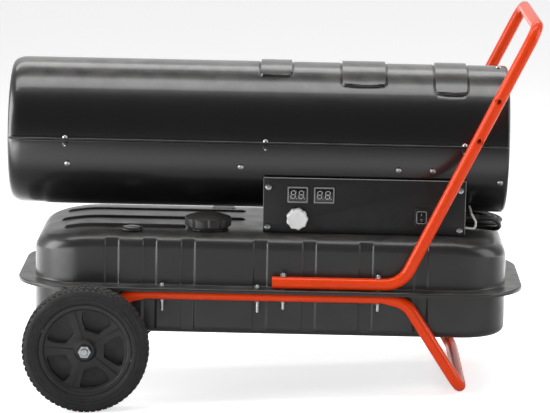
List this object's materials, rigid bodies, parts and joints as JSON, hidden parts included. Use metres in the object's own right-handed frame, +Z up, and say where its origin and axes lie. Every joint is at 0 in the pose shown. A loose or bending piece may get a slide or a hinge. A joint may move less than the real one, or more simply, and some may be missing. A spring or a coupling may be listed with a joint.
{
  "type": "forced air heater",
  "caption": "Wheeled forced air heater: a barrel burner and fan on a fuel tank, with a bent tube frame, handle, control panel and mains cord.",
  "frame": {"origin": "centre of the footprint without the free cord, on the floor under the wheels and the ground bar", "axes": "+X from the hot outlet towards the handle, +Y away from the control panel, +Z up"},
  "size_m": [0.8854, 0.476, 0.6134],
  "materials": {
    "barrel_black": "gloss black enamel",
    "burner_steel": "heat-stained steel",
    "plain_steel": "bare steel",
    "brass": "turned brass",
    "ceramic": "glazed white ceramic",
    "satin_grey": "satin dark grey paint",
    "zinc": "bright zinc plate",
    "wire_black": "black coated wire",
    "black_plastic": "moulded black",
    "strainer_mesh": "fine mesh",
    "seal_rubber": "soft black",
    "needle_orange": "orange",
    "panel_black": "fine textured dark grey",
    "knob_grey": "light grey moulded",
    "board_green": "lacquered board",
    "orange_paint": "gloss orange red",
    "tyre_rubber": "matt black",
    "cord_rubber": "matt black",
    "hose_grey": "light grey"
  },
  "bodies": {
    "chassis": {"upper_shell": "barrel_black", "lower_shell": "barrel_black", "combustion_chamber": "burner_steel", "flame_deflector": "burner_steel", "chamber_support_front": "plain_steel", "chamber_support_rear": "plain_steel", "burner_head": "plain_steel", "nozzle": "brass", "spark_electrode": "ceramic", "motor": "satin_grey", "motor_bracket": "plain_steel", "air_pump": "plain_steel", "air_filter_cover": "black_plastic", "fan_guard": "wire_black", "tank_upper": "satin_grey", "tank_lower": "satin_grey", "drain_plug": "zinc", "filler_neck": "black_plastic", "fuel_strainer": "strainer_mesh", "fuel_gauge": "black_plastic", "control_box": "satin_grey", "control_panel": "panel_black", "display_left": "black_plastic", "display_right": "black_plastic", "thermostat": "plain_steel", "switch_body": "black_plastic", "control_board": "board_green", "ignition_transformer": "black_plastic", "barrel_saddle_front": "satin_grey", "barrel_saddle_rear": "satin_grey", "wheel_frame": "orange_paint", "handle": "orange_paint", "flange_bolt_near_1": "zinc", "flange_bolt_near_2": "zinc", "handle_bolt_near_1": "zinc", "handle_bolt_near_2": "zinc", "flange_bolt_far_1": "zinc", "flange_bolt_far_2": "zinc", "handle_bolt_far_1": "zinc", "handle_bolt_far_2": "zinc", "axle": "plain_steel", "axle_nut_near": "zinc", "axle_nut_far": "zinc", "cord_coil": "cord_rubber", "strain_relief": "cord_rubber", "cord_tube": "cord_rubber", "mains_plug": "cord_rubber", "fuel_hose": "hose_grey"},
    "fan_rotor": {"fan": "plain_steel", "motor_shaft": "plain_steel"},
    "wheel_near": {"tyre_near": "tyre_rubber", "wheel_hub_near": "black_plastic"},
    "wheel_far": {"tyre_far": "tyre_rubber", "wheel_hub_far": "black_plastic"},
    "thermostat_dial": {"thermostat_knob": "knob_grey"},
    "rocker": {"switch_rocker": "black_plastic"},
    "cap_carrier": {"cap_seal": "seal_rubber"},
    "cap": {"fuel_cap": "black_plastic"},
    "float": {"float_arm": "brass"},
    "needle": {"gauge_needle": "needle_orange"}
  },
  "joints": [
    {"name": "fan_spin", "type": "hinge", "parent": "chassis", "child": "fan_rotor", "pos_m": [0.21244, 0, 0.40595], "axis": [0.9988, 0, -0.0493], "continuous": true},
    {"name": "wheel_near_spin", "type": "hinge", "parent": "chassis", "child": "wheel_near", "pos_m": [-0.31511, -0.2075, 0.10337], "axis": [0, 1, 0], "continuous": true},
    {"name": "wheel_far_spin", "type": "hinge", "parent": "chassis", "child": "wheel_far", "pos_m": [-0.31511, 0.2075, 0.10337], "axis": [0, 1, 0], "continuous": true},
    {"name": "thermostat_turn", "type": "hinge", "parent": "chassis", "child": "thermostat_dial", "pos_m": [0.03493, -0.12, 0.29256], "axis": [0, 1, 0], "range_deg": [0, 270]},
    {"name": "switch_press", "type": "hinge", "parent": "chassis", "child": "rocker", "pos_m": [0.2395, -0.113, 0.28897], "axis": [0.9988, 0, -0.0493], "range_deg": [0, 12]},
    {"name": "cap_lift", "type": "slide", "parent": "chassis", "child": "cap_carrier", "axis": [0.0493, 0, 0.9988], "range_m": [0, 0.003]},
    {"name": "cap_turn", "type": "hinge", "parent": "cap_carrier", "child": "cap", "pos_m": [-0.11258, -0.09, 0.29183], "axis": [0.0493, 0, 0.9988], "range_deg": [0, 360]},
    {"name": "float_swing", "type": "hinge", "parent": "chassis", "child": "float", "pos_m": [-0.2402, -0.114, 0.24185], "axis": [0, 1, 0], "range_deg": [-65, 0]},
    {"name": "needle_turn", "type": "hinge", "parent": "chassis", "child": "needle", "pos_m": [-0.23812, -0.114, 0.284], "axis": [0.0493, 0, 0.9988], "range_deg": [0, 97.5]}
  ],
  "couplings": [
    {"joint": "cap_lift", "follows": "cap_turn", "m_per_rad": 0.000477},
    {"joint": "needle_turn", "follows": "float_swing", "ratio": -1.5}
  ]
}
